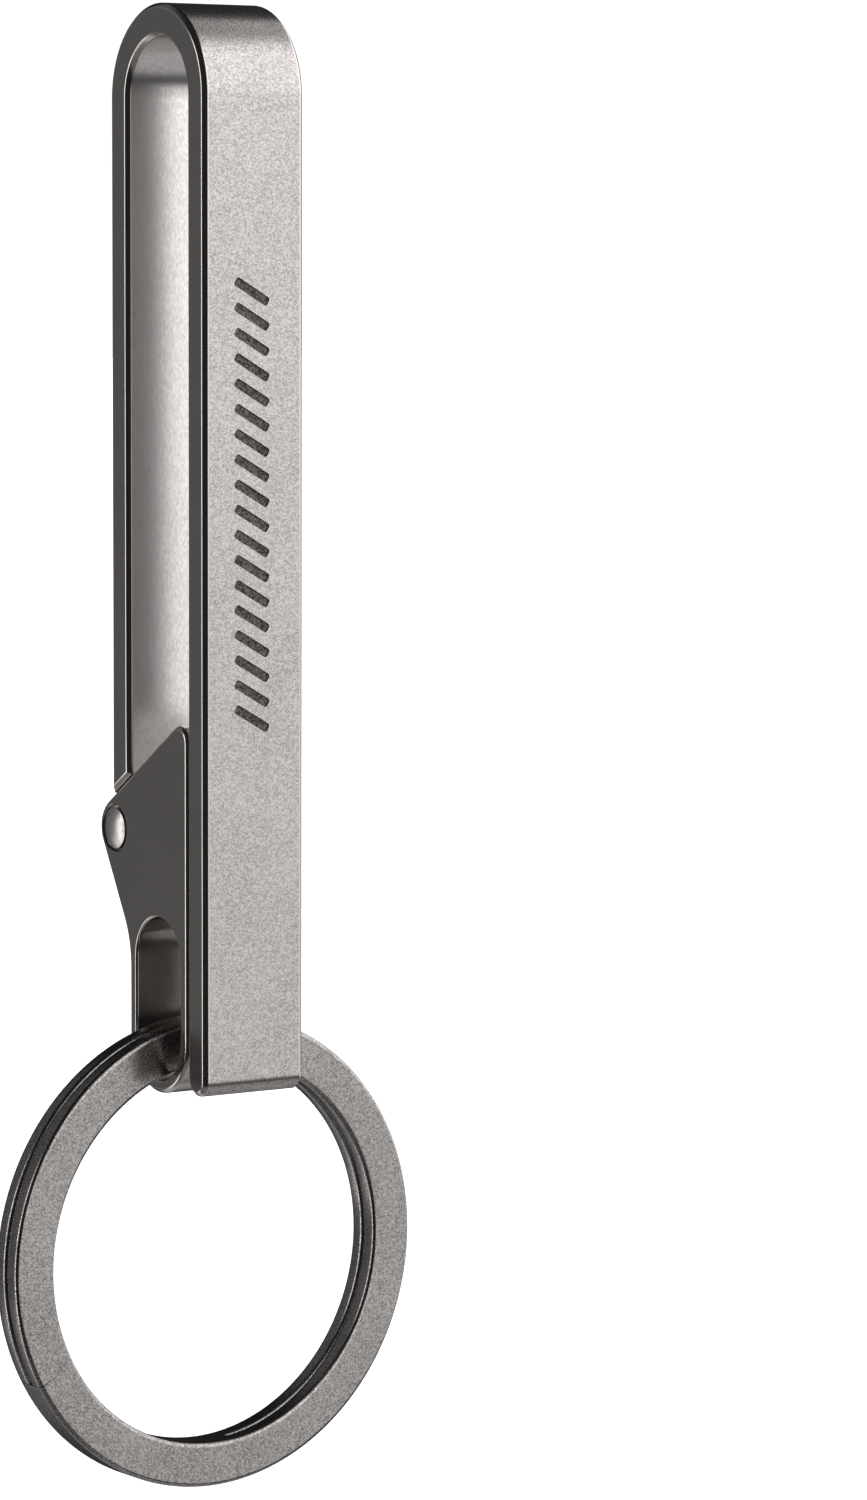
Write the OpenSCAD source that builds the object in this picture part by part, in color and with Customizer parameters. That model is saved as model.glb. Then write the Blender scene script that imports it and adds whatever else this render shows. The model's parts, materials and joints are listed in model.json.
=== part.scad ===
// Keychain belt clip: a U-shaped spring frame closed by a pivoting gate that carries a split key ring.
// +Z is up, +X points from the short leg to the long leg and Y runs along the pivot pin.
// The origin is the hang point: the middle of the inside of the bend, where a belt or strap bears.

/* [Frame] */
// Height of the frame, from the top of the bend to the foot of the long leg
frame_height = 72; // [66:0.5:90]
// Depth of the frame across both legs
frame_depth = 12.3; // [11.5:0.1:13.5]
// Width of the strip that the frame is milled to
frame_width = 7.7; // [7.2:0.1:10]
// Thickness of the strip
strip_t = 2.3; // [2:0.1:2.6]
// Chamfer along the edges of the strip
edge_chamfer = 0.35; // [0.1:0.05:0.5]

/* [Gate] */
// Height of the gate's foot above (positive) or below (negative) the foot of the long leg
gate_foot_offset = -0.4; // [-1:0.1:1]
// Height of the pivot above the gate's foot
pivot_height = 17.3; // [16:0.1:20]
// How far the pivot lies inside the outer face of the short leg
pivot_inset = 0.35; // [0:0.05:0.8]
// Radius of the ears round the pivot
ear_r = 2.05; // [1.9:0.05:2.4]
// Slope of the gate's upper edge, in degrees above the horizontal
gate_slope = 32.5; // [28:0.5:38]
// Lean of the gate's outer edge below the pivot, in degrees from the vertical
gate_lean = 30; // [24:1:34]
// Radius of the gate's tip
tip_r = 1.2; // [0.6:0.1:1.5]
// Blend radius between the leaning edge and the ring arm
blend_r = 6.5; // [3:0.5:8]
// Thickness of the arm beside the ring slot
arm_wall = 0.95; // [0.8:0.05:1.2]
// Thickness of the arm under the ring slot
arm_floor = 0.9; // [0.7:0.05:1.2]
// Length of the ring slot
slot_length = 10.9; // [10.5:0.1:12]
// How far the gate swings open, in degrees
gate_swing = 133; // [120:1:135]

/* [Pivot] */
// Width of the tongue that the short leg ends in
tongue_w = 3.6; // [3:0.1:4.5]
// Radius of the tongue's knuckle round the pivot
knuckle_r = 1.45; // [1.4:0.05:1.6]
// Diameter of the pin's shank
pin_d = 1.8; // [1.5:0.1:2]
// Diameter of the pin's two heads
head_d = 2.75; // [2.4:0.05:3]
// Depth that both heads are let into the gate
head_t = 0.6; // [0.4:0.1:0.8]
// Height that the flat head stands proud, all of it chamfer
head_rise = 0.25; // [0.1:0.05:0.3]
// Height of the dome on the other head
dome_h = 0.35; // [0.2:0.05:0.5]

/* [Key ring] */
// Outer diameter of the split ring
ring_od = 32; // [30:0.5:34]
// Inner diameter of the split ring
ring_id = 26; // [24:0.5:27]
// Thickness of one turn of the ring's flat wire
turn_t = 1.3; // [1:0.05:1.35]
// Width of the slit between the two turns
slit = 0.08; // [0.05:0.01:0.15]
// Where the solid bridge between the turns starts, in degrees from the top towards -Y
bridge_from = 118; // [90:1:140]
// Where the bridge ends
bridge_to = 186; // [160:1:200]
// How far the ring hangs turned about the vertical, in degrees
ring_yaw = 3.5; // [0:0.5:5]

/* [Engraving] */
// Number of slanted strokes engraved on the long leg
stroke_count = 18; // [0:1:22]
// Distance from one stroke to the next
stroke_pitch = 1.65; // [1.4:0.05:4]
// Distance from the top of the bend to the middle of the row
row_middle = 32.9; // [25:0.1:45]
// Distance that the row lies off the middle of the face, towards +Y
row_offset = -0.2; // [-1:0.1:1]
// Length of a stroke
stroke_length = 2.9; // [1.5:0.1:3.5]
// Width of a stroke
stroke_w = 0.6; // [0.3:0.05:0.8]
// Slant of a stroke across the leg, in degrees; negative falls towards +Y
stroke_angle = -30; // [-45:5:45]
// Depth of the engraving
stroke_depth = 0.1; // [0.05:0.01:0.2]

/* [Hidden] */
$fn = 96;
arc_step = 5;                     // steps of the gate's arcs, in degrees
eps = 0.01;                       // overshoot that keeps a cut from ending on a face
past = 1;                         // overshoot of a cut that passes right through

// Running clearances, all radial or per face
seat_gap = 0.05;     // gate against the long leg and against the ring
shoulder_gap = 0.12; // gate's sloped edge against the short leg's shoulder
pocket_gap = 0.1;    // tongue inside the gate
pin_gap = 0.03;      // pin shank in its bores
head_gap = 0.22;     // pin heads in their recesses

// Frame
half_depth = frame_depth / 2;
inner_x = half_depth - strip_t;   // inner faces of both legs lie at +-inner_x
bend_z = -inner_x;                // centre of the bend
foot_z = strip_t - frame_height;  // lowest point of the long leg

// Pivot
pivot_x = -half_depth + pivot_inset;
gate_foot_z = foot_z + gate_foot_offset;
pivot_z = gate_foot_z + pivot_height;
pivot = [pivot_x, pivot_z];
gate_w = frame_width - 0.1;       // the gate stands just inside the frame's faces

// Gate
edge_x = inner_x - seat_gap;      // straight edge, against the long leg
arm_r = (edge_x + inner_x) / 2;   // the arm is as wide as the gap between the legs
arm_x = edge_x - arm_r;
arm_z = gate_foot_z + arm_r;      // centre of the arm's round end
slot_r = arm_r - arm_wall;
slot_low_z = gate_foot_z + arm_floor + slot_r;
slot_high_z = gate_foot_z + arm_floor + slot_length - slot_r;

// Split ring: its bore hangs on the round floor of the slot, at the gate's two faces
ring_t = 2 * turn_t + slit;
ring_r = ring_od / 2;
ring_bore_r = ring_id / 2;
ring_side = (ring_t * cos(ring_yaw) + gate_w * sin(ring_yaw)) / 2;
ring_drop = sqrt(pow(slot_r - seat_gap, 2) - pow(ring_side, 2));
ring_z = slot_low_z - ring_drop - sqrt(pow(ring_bore_r, 2) - pow(gate_w / 2, 2));
ring_edge = 0.15;                 // chamfer on the wire's corners
end_gap = 0.3;                    // gap between a turn's free end and the bridge, in degrees

// Extrudes an outline drawn in X and Z through a width along Y
module plate(width) {
    rotate([90, 0, 0])
        linear_extrude(height = width, center = true)
            children();
}

// Section of the strip: thickness along x, width along y, chamfered corners
module strip_section(centre_x) {
    a = strip_t / 2;
    b = frame_width / 2;
    c = edge_chamfer;
    translate([centre_x, 0])
        polygon([[a - c, -b], [a, -b + c], [a, b - c], [a - c, b],
                 [-a + c, b], [-a, b - c], [-a, -b + c], [-a + c, -b]]);
}

// Straight leg between two heights, on the side given by the sign of centre_x
module leg(centre_x, low_z, high_z) {
    translate([0, 0, low_z])
        linear_extrude(height = high_z - low_z)
            strip_section(centre_x);
}

// Half-round bend that joins the two legs
module bend() {
    translate([0, 0, bend_z])
        rotate([90, 0, 0])
            rotate_extrude(angle = 180)
                strip_section(half_depth - strip_t / 2);
}

// Outline that cuts the foot of the long leg to a full round
module foot_outline() {
    foot_r = strip_t / 2;
    translate([half_depth - foot_r, foot_z + foot_r])
        circle(r = foot_r);
    translate([inner_x, foot_z + foot_r])
        square([strip_t, foot_r]);
}

module long_leg() {
    foot_top = foot_z + strip_t;
    leg_x = half_depth - strip_t / 2;
    leg(leg_x, foot_top, bend_z);
    intersection() {
        leg(leg_x, foot_z, foot_top);
        plate(frame_width) foot_outline();
    }
}

// Half-plane above a line at the gate's slope that passes clear of the ears by the given gap
module above_slope(gap) {
    reach = 2 * frame_depth;
    translate(pivot)
        rotate(gate_slope)
            translate([-reach, ear_r + gap])
                square([2 * reach, reach]);
}

// Short leg: sloped shoulders, then a narrower tongue with the knuckle
module short_leg() {
    leg_x = -half_depth + strip_t / 2;
    shoulder_z = pivot_z + ear_r + strip_t;
    leg(leg_x, shoulder_z, bend_z);
    intersection() {
        leg(leg_x, pivot_z, shoulder_z);
        plate(frame_width) above_slope(shoulder_gap);
    }
    plate(tongue_w) {
        translate([-half_depth, pivot_z])
            square([pivot_inset + knuckle_r, ear_r + strip_t]);
        translate(pivot)
            circle(r = knuckle_r);
    }
}

// Slanted strokes in a row on the outer face of the long leg
module engraving() {
    row_length = (stroke_count - 1) * stroke_pitch;
    low_z = strip_t - row_middle - row_length / 2;
    for (i = [0 : 1 : stroke_count - 1])
        translate([half_depth - stroke_depth, row_offset, low_z + i * stroke_pitch])
            rotate([stroke_angle, 0, 0])
                translate([0, -stroke_length / 2, -stroke_w / 2])
                    cube([stroke_depth + eps, stroke_length, stroke_w]);
}

module clip_frame() {
    color([0.62, 0.60, 0.58])
        difference() {
            union() {
                bend();
                long_leg();
                short_leg();
            }
            translate([pivot_x, 0, pivot_z])
                rotate([90, 0, 0])
                    cylinder(d = pin_d + 2 * pin_gap, h = frame_width, center = true);
            engraving();
        }
}

// Points along an arc from one angle to another
function arc(centre, r, from, to) =
    let (steps = ceil(abs(to - from) / arc_step))
    [for (i = [0 : steps]) centre + r * [cos(from + (to - from) * i / steps), sin(from + (to - from) * i / steps)]];

// Outline of the gate, without its ring slot: ear, leaning edge, blend, arm, straight edge, tip, sloped edge
module gate_outline() {
    slope_side = 90 + gate_slope;
    lean_side = 180 + gate_lean;
    tip_x = edge_x - tip_r;
    tip_run = (tip_x - pivot_x + (ear_r - tip_r) * sin(gate_slope)) / cos(gate_slope);
    tip = pivot + (ear_r - tip_r) * [-sin(gate_slope), cos(gate_slope)]
        + tip_run * [cos(gate_slope), sin(gate_slope)];
    blend_x = arm_x - arm_r - blend_r;
    blend_z = pivot_z - (ear_r + blend_r + cos(gate_lean) * (blend_x - pivot_x)) / sin(gate_lean);
    polygon(concat(arc(pivot, ear_r, slope_side, lean_side),
                   arc([blend_x, blend_z], blend_r, gate_lean, 0),
                   arc([arm_x, arm_z], arm_r, 180, 360),
                   arc(tip, tip_r, 0, slope_side)));
}

// Long round-ended hole that the key ring passes through
module ring_slot() {
    translate([arm_x, slot_low_z]) circle(r = slot_r);
    translate([arm_x, slot_high_z]) circle(r = slot_r);
    translate([arm_x - slot_r, slot_low_z]) square([2 * slot_r, slot_high_z - slot_low_z]);
}

// Room for the tongue between the gate's ears, over the whole swing
module tongue_pocket() {
    reach = 2 * frame_depth;
    inner = knuckle_r + pocket_gap;
    outer = pivot_inset + pocket_gap;
    open_out = [-cos(gate_swing), -sin(gate_swing)];
    open_along = [-sin(gate_swing), cos(gate_swing)];
    translate(pivot) {
        circle(r = inner);
        polygon([[inner, 0], [inner, reach], [-reach, reach], [-reach, 0],
                 outer * open_out + reach * open_along, outer * open_out]);
    }
}

module gate_lever() {
    bore_d = pin_d + 2 * pin_gap;
    recess_d = head_d + 2 * head_gap;
    color([0.45, 0.43, 0.42])
        difference() {
            plate(gate_w) difference() {
                gate_outline();
                ring_slot();
            }
            plate(tongue_w + 2 * pocket_gap) tongue_pocket();
            translate([pivot_x, 0, pivot_z])
                rotate([90, 0, 0]) {
                    cylinder(d = bore_d, h = gate_w + past, center = true);
                    for (side = [-1, 1])
                        translate([0, 0, side * gate_w / 2])
                            cylinder(d = recess_d, h = 2 * head_t, center = true);
                }
        }
}

// Rivet pin: a plain shank, one domed head at -Y and one flat chamfered head at +Y
module pivot_pin() {
    dome_r = (pow(head_d / 2, 2) + pow(dome_h, 2)) / (2 * dome_h);
    face = gate_w / 2;
    color([0.72, 0.71, 0.70])
        translate([pivot_x, 0, pivot_z])
            rotate([90, 0, 0]) {
                cylinder(d = pin_d, h = gate_w - 2 * head_t, center = true);
                translate([0, 0, face - head_t])
                    cylinder(d = head_d, h = head_t);
                intersection() {
                    translate([0, 0, face + dome_h - dome_r]) sphere(r = dome_r);
                    translate([0, 0, face]) cylinder(d = head_d, h = dome_h);
                }
                translate([0, 0, -face])
                    cylinder(d = head_d, h = head_t);
                translate([0, 0, -face - head_rise])
                    cylinder(d1 = head_d - 2 * head_rise, d2 = head_d, h = head_rise);
            }
}

// Section of the whole ring, with its corners chamfered
module ring_section() {
    c = ring_edge;
    half = ring_t / 2;
    polygon([[ring_bore_r + c, -half], [ring_r - c, -half], [ring_r, -half + c], [ring_r, half - c],
             [ring_r - c, half], [ring_bore_r + c, half], [ring_bore_r, half - c], [ring_bore_r, -half + c]]);
}

// Section of the slit between the two turns, flared at the bore and at the rim
module slit_section() {
    c = ring_edge;
    half = slit / 2;
    polygon([[ring_bore_r - c, -half - 2 * c], [ring_bore_r + c, -half], [ring_r - c, -half],
             [ring_r + c, -half - 2 * c], [ring_r + c, half + 2 * c], [ring_r - c, half],
             [ring_bore_r + c, half], [ring_bore_r - c, half + 2 * c]]);
}

// Saw cut through one turn only, which leaves it a free end; side is -1 or 1
module end_cut(at, side) {
    rotate([0, 0, at])
        rotate_extrude(angle = end_gap)
            translate([ring_bore_r - past, side > 0 ? 0 : -ring_t])
                square([ring_r - ring_bore_r + 2 * past, ring_t]);
}

// Key ring sawn from one piece: two turns that part from a solid bridge, each with a free end at its far side
module split_ring() {
    color([0.50, 0.48, 0.47])
        translate([arm_x, 0, ring_z])
            rotate([0, 0, ring_yaw])
                rotate([0, 90, 0])
                    rotate([0, 0, 180])
                        difference() {
                            rotate_extrude() ring_section();
                            rotate([0, 0, bridge_to + end_gap / 2])
                                rotate_extrude(angle = 360 + bridge_from - bridge_to - end_gap)
                                    slit_section();
                            end_cut(bridge_from - end_gap, 1);
                            end_cut(bridge_to, -1);
                        }
}

clip_frame();
gate_lever();
pivot_pin();
split_ring();
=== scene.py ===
"""Looks of a belt loop key clip: spring frame, lever gate, rivet pin and split key ring."""

import json
import logging
import math
from dataclasses import dataclass, field
from enum import Enum
from typing import Sequence

import bmesh
import bpy
from mathutils import Matrix, Vector


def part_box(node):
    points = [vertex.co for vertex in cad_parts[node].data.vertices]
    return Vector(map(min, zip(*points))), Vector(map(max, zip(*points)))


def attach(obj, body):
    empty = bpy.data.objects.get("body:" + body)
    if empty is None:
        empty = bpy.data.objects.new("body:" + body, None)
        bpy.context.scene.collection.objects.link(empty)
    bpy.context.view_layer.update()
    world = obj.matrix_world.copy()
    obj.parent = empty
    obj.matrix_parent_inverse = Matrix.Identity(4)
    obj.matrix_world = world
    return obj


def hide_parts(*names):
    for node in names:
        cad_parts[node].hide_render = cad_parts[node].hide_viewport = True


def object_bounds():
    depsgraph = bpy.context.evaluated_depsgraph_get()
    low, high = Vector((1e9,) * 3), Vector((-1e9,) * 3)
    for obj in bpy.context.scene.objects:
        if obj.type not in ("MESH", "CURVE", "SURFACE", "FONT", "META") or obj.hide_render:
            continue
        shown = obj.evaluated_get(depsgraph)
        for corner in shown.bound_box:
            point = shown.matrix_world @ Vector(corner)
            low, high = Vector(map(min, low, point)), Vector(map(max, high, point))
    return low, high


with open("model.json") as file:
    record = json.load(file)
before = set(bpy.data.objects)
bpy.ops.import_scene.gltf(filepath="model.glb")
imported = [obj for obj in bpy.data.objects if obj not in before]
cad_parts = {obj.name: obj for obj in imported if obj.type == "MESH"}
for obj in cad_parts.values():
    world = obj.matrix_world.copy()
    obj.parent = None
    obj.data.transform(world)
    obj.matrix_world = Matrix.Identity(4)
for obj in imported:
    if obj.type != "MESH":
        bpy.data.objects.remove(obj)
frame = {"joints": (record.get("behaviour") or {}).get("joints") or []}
CAD_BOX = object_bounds()

MM = 0.001
LOG = logging.getLogger("key_clip")
Point = tuple[float, float]
Loop = list[Point]


# ---------------------------------------------------------------- finishes

def linear(hex_colour: str) -> tuple[float, float, float, float]:
    """Turns an sRGB hex colour into linear RGBA.

    Args:
        hex_colour: Six hex digits, such as "B8B2AE".

    Returns:
        Linear red, green and blue with an alpha of 1.
    """
    parts = [int(hex_colour[i:i + 2], 16) / 255 for i in (0, 2, 4)]
    red, green, blue = (p / 12.92 if p <= 0.04045 else ((p + 0.055) / 1.055) ** 2.4 for p in parts)
    return red, green, blue, 1.0


def add(tree: bpy.types.NodeTree, kind: str, settings: dict | None = None,
        values: dict | None = None, links: dict | None = None) -> bpy.types.Node:
    """Adds one node with its settings, socket values and incoming links.

    Args:
        tree: Node tree that takes the node.
        kind: Blender's name for the node's type.
        settings: Attribute name to value.
        values: Input socket name or index to value.
        links: Input socket name or index to the output socket that feeds it.

    Returns:
        The new node.
    """
    node = tree.nodes.new(kind)
    for name, value in (settings or {}).items():
        setattr(node, name, value)
    for key, value in (values or {}).items():
        node.inputs[key].default_value = value
    for key, source in (links or {}).items():
        tree.links.new(source, node.inputs[key])
    return node


class Surface(Enum):
    """How a metal surface was finished."""

    BLASTED = "blasted"
    CUT = "wire_cut"
    CHAMFER = "machined_edge"
    MILLED = "milled"
    # ground inner faces, whose brightened colour also carries painted light
    GROUND_WITH_PAINTED_LIGHT = "ground"
    TUMBLED = "tumbled"
    ENGRAVED = "engraved"
    POLISHED = "polished"


CLOUD_MM = 6.0             # size of the soft blotches that handling leaves
CLOUD_TONE = 0.06          # how much they change the tone
CLOUD_RANGE = (0.3, 0.7)   # part of the noise that the blotches use
PIT_RANGE = (0.15, 0.85)   # grains below it are pits, and grains above it are clean
ROUGH_SPREAD = 0.05        # roughness change from grain to grain at full speckle


@dataclass(frozen=True)
class MetalFinish:
    """One titanium finish, as node settings.

    Attributes:
        surface: Which kind of finish it is.
        colour: sRGB hex of the metal's reflection.
        dark: sRGB hex of the pits and shaded grains.
        roughness: Shader roughness between grains.
        grain_mm: Size of one grain or tool mark.
        relief_mm: Height of the grain for the bump.
        speckle: Share of the darker colour at most, from 0 to 1.
        lay: Stretch of the pattern along X, Y and Z; 1 is even.
    """

    surface: Surface
    colour: str
    dark: str
    roughness: float
    grain_mm: float
    relief_mm: float
    speckle: float
    lay: tuple[float, float, float] = (1.0, 1.0, 1.0)

    def material(self, piece: str) -> bpy.types.Material:
        """Builds the node material for a piece.

        Args:
            piece: Name of the piece, used in the material's name.

        Returns:
            The finished material.
        """
        name = f"{piece}_titanium_{self.surface.value}"
        made = bpy.data.materials.get(name)
        if made:
            return made
        made = bpy.data.materials.new(name)
        made.use_nodes = True
        tree = made.node_tree
        tree.nodes.clear()
        where = add(tree, "ShaderNodeTexCoord").outputs["Object"]
        laid = add(tree, "ShaderNodeMapping", values={"Scale": self.lay}, links={"Vector": where})
        grain = add(tree, "ShaderNodeTexVoronoi", {"feature": "F1"}, {"Scale": 1 / (self.grain_mm * MM)},
                    {"Vector": laid.outputs["Vector"]})
        cloud = add(tree, "ShaderNodeTexNoise",
                    values={"Scale": 1 / (CLOUD_MM * MM), "Detail": 3.0, "Roughness": 0.55},
                    links={"Vector": where})
        pits = add(tree, "ShaderNodeMapRange",
                   values={"From Min": PIT_RANGE[0], "From Max": PIT_RANGE[1],
                           "To Min": self.speckle, "To Max": 0.0},
                   links={"Value": grain.outputs["Color"]})
        tone = add(tree, "ShaderNodeMapRange",
                   values={"From Min": CLOUD_RANGE[0], "From Max": CLOUD_RANGE[1],
                           "To Min": -CLOUD_TONE, "To Max": CLOUD_TONE},
                   links={"Value": cloud.outputs["Fac"]})
        share = add(tree, "ShaderNodeMath", {"operation": "ADD", "use_clamp": True},
                    links={0: pits.outputs["Result"], 1: tone.outputs["Result"]})
        colour = add(tree, "ShaderNodeMix", {"data_type": "RGBA"},
                     values={"A": linear(self.colour), "B": linear(self.dark)},
                     links={"Factor": share.outputs["Value"]})
        spread = ROUGH_SPREAD * self.speckle
        rough = add(tree, "ShaderNodeMapRange",
                    values={"From Min": 0.0, "From Max": 1.0,
                            "To Min": self.roughness + spread, "To Max": self.roughness - spread},
                    links={"Value": grain.outputs["Color"]})
        bump = add(tree, "ShaderNodeBump", values={"Strength": 1.0, "Distance": self.relief_mm * MM},
                   links={"Height": grain.outputs["Distance"]})
        shader = add(tree, "ShaderNodeBsdfPrincipled", values={"Metallic": 1.0},
                     links={"Base Color": colour.outputs["Result"], "Roughness": rough.outputs["Result"],
                            "Normal": bump.outputs["Normal"]})
        add(tree, "ShaderNodeOutputMaterial", links={"Surface": shader.outputs["BSDF"]})
        return made


# Bead-blasted titanium scatters evenly, so broad faces look like fine grey cloth. The real grit is about
# 0.05 mm; it is drawn at 0.1 mm so that it shows.
BLASTED = MetalFinish(Surface.BLASTED, "C8C3C1", "6F6A68", 0.27, 0.10, 0.003, 0.60)
# The flat sides are wire cut from plate, which leaves them even and nearly free of grain.
CUT = MetalFinish(Surface.CUT, "AFAAA8", "8A8583", 0.26, 0.10, 0.0001, 0.06)
# Edges are machined after blasting, so they flash in a thin bright line.
CHAMFER = MetalFinish(Surface.CHAMFER, "CCC8C4", "A5A09C", 0.18, 0.30, 0.0005, 0.10)
# An end mill leaves fine lines that run the length of the slot.
MILLED = MetalFinish(Surface.MILLED, "BCB7B4", "7E7A76", 0.24, 0.16, 0.0005, 0.40, (1.0, 1.0, 0.02))
# The strip's inner face is ground along its length. Its colour is also brightened well past the blasted
# faces' as painted light, which makes up for the shade that falls between the legs.
GROUND_WITH_PAINTED_LIGHT = MetalFinish(Surface.GROUND_WITH_PAINTED_LIGHT, "E9E6E4", "A5A09E", 0.26, 0.10, 0.0003, 0.30, (1.0, 1.0, 0.4))
# The key ring is tumbled, which leaves it darker and rounder than the blasted frame.
TUMBLED = MetalFinish(Surface.TUMBLED, "B3AFAD", "575352", 0.25, 0.09, 0.003, 0.75)
# Laser engraving burns the metal dark and slightly rough.
ENGRAVED = MetalFinish(Surface.ENGRAVED, "6E6A67", "2A2827", 0.50, 0.12, 0.012, 0.90)
# Rivet heads are peened and polished.
POLISHED = MetalFinish(Surface.POLISHED, "D8D4D1", "8E8985", 0.33, 0.15, 0.002, 0.25)


# ---------------------------------------------------------------- outlines and solids

def arc(centre: Point, radius: float, start: float, stop: float, steps: int) -> Loop:
    """Points along an arc, both ends included.

    Args:
        centre: Centre of the arc, in mm.
        radius: Radius in mm.
        start: First angle in degrees.
        stop: Last angle in degrees.
        steps: Number of straight pieces.

    Returns:
        The points in order.
    """
    turns = [math.radians(start + (stop - start) * i / steps) for i in range(steps + 1)]
    return [(centre[0] + radius * math.cos(t), centre[1] + radius * math.sin(t)) for t in turns]


def run(start: Point, stop: Point, steps: int) -> Loop:
    """Points strictly between two ends of a straight run.

    Args:
        start: First end, left out.
        stop: Second end, left out.
        steps: Number of pieces that the run is cut into.

    Returns:
        The points between.
    """
    return [(start[0] + (stop[0] - start[0]) * i / steps, start[1] + (stop[1] - start[1]) * i / steps)
            for i in range(1, steps)]


SHARPEST = 0.4  # cosine of half the turn at a corner past which its point moves no further


def inset(loop: Loop, distance: float) -> Loop:
    """Moves a closed outline inwards; counter-clockwise outlines shrink and clockwise holes grow.

    Args:
        loop: The outline.
        distance: How far to move it, in mm.

    Returns:
        The moved outline with the same number of points.
    """
    moved = []
    for i, here in enumerate(loop):
        back, ahead = loop[i - 1], loop[(i + 1) % len(loop)]
        way_in = (Vector(here) - Vector(back)).normalized()
        way_out = (Vector(ahead) - Vector(here)).normalized()
        normal = Vector((-way_in.y - way_out.y, way_in.x + way_out.x)).normalized()
        stretch = 1 / max(SHARPEST, normal.dot(Vector((-way_in.y, way_in.x))))
        moved.append((here[0] + normal.x * distance * stretch, here[1] + normal.y * distance * stretch))
    return moved


@dataclass(frozen=True)
class EdgeBreak:
    """Chamfer along the edges of a plate, with its two corners eased.

    Attributes:
        size: Width of the chamfer on each face, in mm.
        ease: Rounding where the chamfer meets a face, in mm.
        lead: Width of the flat strip beside it, which keeps the shading of the broad face even.
    """

    size: float
    ease: float = 0.05
    lead: float = 0.03

    def profile(self) -> list[Point]:
        """Points of the chamfer as (inset, depth below the face), from the side to the face."""
        slant = self.ease * math.sqrt(0.5)
        corners = [((0.0, self.size + self.ease), (0.0, self.size), (slant, self.size - slant)),
                   ((self.size - slant, slant), (self.size, 0.0), (self.size + self.ease, 0.0))]
        points = []
        for a, b, c in corners:
            for t in (0.0, 1 / 3, 2 / 3, 1.0):
                weights = ((1 - t) ** 2, 2 * t * (1 - t), t * t)
                points.append(tuple(sum(w * end[k] for w, end in zip(weights, (a, b, c))) for k in (0, 1)))
        return points + [(self.size + self.ease + self.lead, 0.0)]


@dataclass
class Plate:
    """A plate cut to an outline in X and Z, with chamfered edges on both faces.

    Attributes:
        outline: Counter-clockwise outline as seen from -Y, in mm.
        width: Full width along Y, in mm.
        edge: Chamfer of the outer edges.
        holes: Clockwise outlines of through holes.
        hole_edge: Chamfer of the holes' edges.
        ladder: True if the outline is two rows of points that face each other, which then gives quads.
    """

    outline: Loop
    width: float
    edge: EdgeBreak
    holes: list[Loop] = field(default_factory=list)
    hole_edge: EdgeBreak | None = None
    ladder: bool = False

    def wall(self, mesh: bmesh.types.BMesh, loop: Loop, edge: EdgeBreak, side_slot: int,
             break_slot: int, face_slot: int, inner_slot: int | None = None) -> tuple[list, list]:
        """Adds the side wall of one outline with its chamfers.

        Args:
            mesh: Mesh that takes the wall.
            loop: The outline.
            edge: Chamfer of its edges.
            side_slot: Material slot of the wall.
            break_slot: Material slot of the chamfers.
            face_slot: Material slot of the flat strips beside them.
            inner_slot: Material slot of the wall's second half, if it differs.

        Returns:
            The two end rings of vertices, at -Y and at +Y.
        """
        half = self.width / 2
        steps = [(d, -half + depth) for d, depth in reversed(edge.profile())]
        steps += [(d, half - depth) for d, depth in edge.profile()]
        rings = []
        for distance, y in steps:
            moved = inset(loop, distance) if distance else loop
            rings.append([mesh.verts.new((x * MM, y * MM, z * MM)) for x, z in moved])
        middle = len(edge.profile()) - 1
        slots = {0: face_slot, len(rings) - 2: face_slot}
        for level in range(len(rings) - 1):
            low, high = rings[level], rings[level + 1]
            for i in range(len(loop)):
                j = (i + 1) % len(loop)
                face = mesh.faces.new((low[i], low[j], high[j], high[i]))
                wall_slot = side_slot if inner_slot is None or i < len(loop) // 2 else inner_slot
                face.material_index = wall_slot if level == middle else slots.get(level, break_slot)
        return rings[0], rings[-1]

    def build(self, mesh: bmesh.types.BMesh, side_slot: int = 0, break_slot: int = 1,
              hole_slot: int = 2, face_slot: int = 0) -> None:
        """Adds the whole plate to a mesh.

        Args:
            mesh: Mesh that takes the plate.
            side_slot: Material slot of the outer walls.
            break_slot: Material slot of the chamfers.
            hole_slot: Material slot of the holes' walls, or of a ladder's second row.
            face_slot: Material slot of the two flat faces.
        """
        inner_slot = hole_slot if self.ladder else None
        ends = [self.wall(mesh, self.outline, self.edge, side_slot, break_slot, face_slot, inner_slot)]
        for hole in self.holes:
            ends.append(self.wall(mesh, hole, self.hole_edge or self.edge, hole_slot, break_slot, face_slot))
        close = self.close_ladder if self.ladder else self.close_fill
        for rings in zip(*ends):
            for face in close(mesh, rings):
                face.material_index = face_slot

    @staticmethod
    def close_ladder(mesh: bmesh.types.BMesh, rings: Sequence[list]) -> list[bmesh.types.BMFace]:
        """Closes a flat side with quads between the outline's two rows of points.

        Args:
            mesh: Mesh that takes the faces.
            rings: The outline's ring of vertices alone.

        Returns:
            The new faces.
        """
        ring, count = rings[0], len(rings[0])
        faces = [mesh.faces.new((ring[i], ring[i + 1], ring[count - 2 - i], ring[count - 1 - i]))
                 for i in range(count // 2 - 1)]
        if count % 2:
            faces.append(mesh.faces.new(ring[count // 2 - 1:count // 2 + 2]))
        return faces

    @staticmethod
    def close_fill(mesh: bmesh.types.BMesh, rings: Sequence[list]) -> list[bmesh.types.BMFace]:
        """Closes a flat side with triangles between the outline and its holes.

        Args:
            mesh: Mesh that takes the faces.
            rings: Rings of vertices of the outline and of each hole.

        Returns:
            The new faces.
        """
        edges = [mesh.edges.get((ring[i - 1], ring[i])) for ring in rings for i in range(len(ring))]
        filled = bmesh.ops.triangle_fill(mesh, use_beauty=True, use_dissolve=False, edges=edges)
        return [item for item in filled["geom"] if isinstance(item, bmesh.types.BMFace)]


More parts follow.
